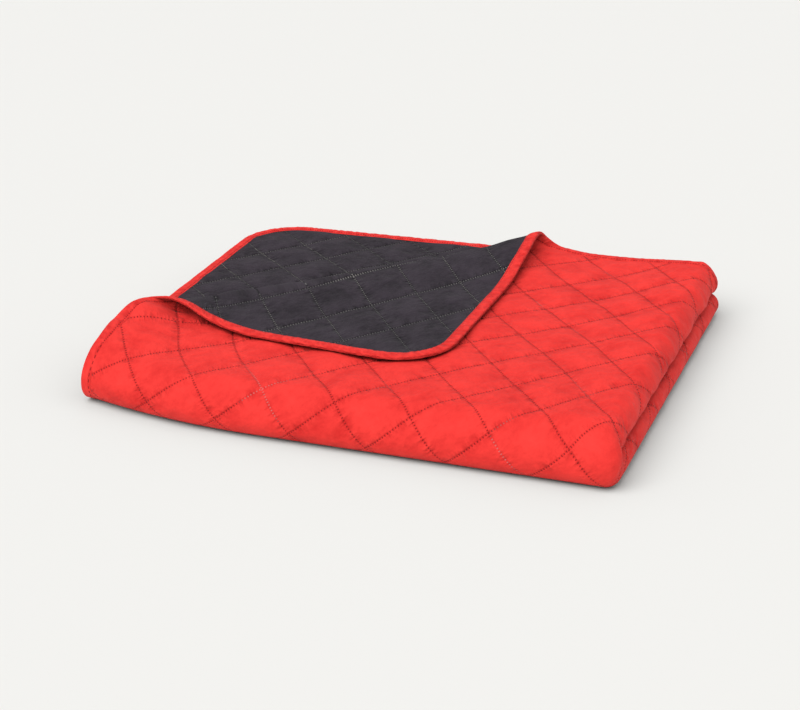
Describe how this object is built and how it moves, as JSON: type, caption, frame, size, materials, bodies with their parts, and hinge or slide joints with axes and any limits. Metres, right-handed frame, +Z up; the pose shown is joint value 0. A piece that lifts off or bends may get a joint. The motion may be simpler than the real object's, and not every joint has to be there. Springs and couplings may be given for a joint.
{
  "type": "quilted bedspread",
  "caption": "Diamond quilted bedspread, red outside and charcoal inside with a red bound edge, folded to a flat stack with one corner of its top layer turned back.",
  "frame": {"origin": "middle of the bounding box at the level of the surface that the stack rests on", "axes": "+X to the right along the long front fold, +Y to the back, +Z up through the layers"},
  "size_m": [0.6176, 0.531, 0.089],
  "materials": {
    "red_face": "matt woven polyester, quilted in diamonds",
    "charcoal_reverse": "matt woven polyester, quilted in diamonds",
    "red_binding": "matt woven tape"
  },
  "bodies": {
    "root": {"face_panel": "red_face", "reverse_panel": "charcoal_reverse", "binding": "red_binding"}
  },
  "joints": []
}
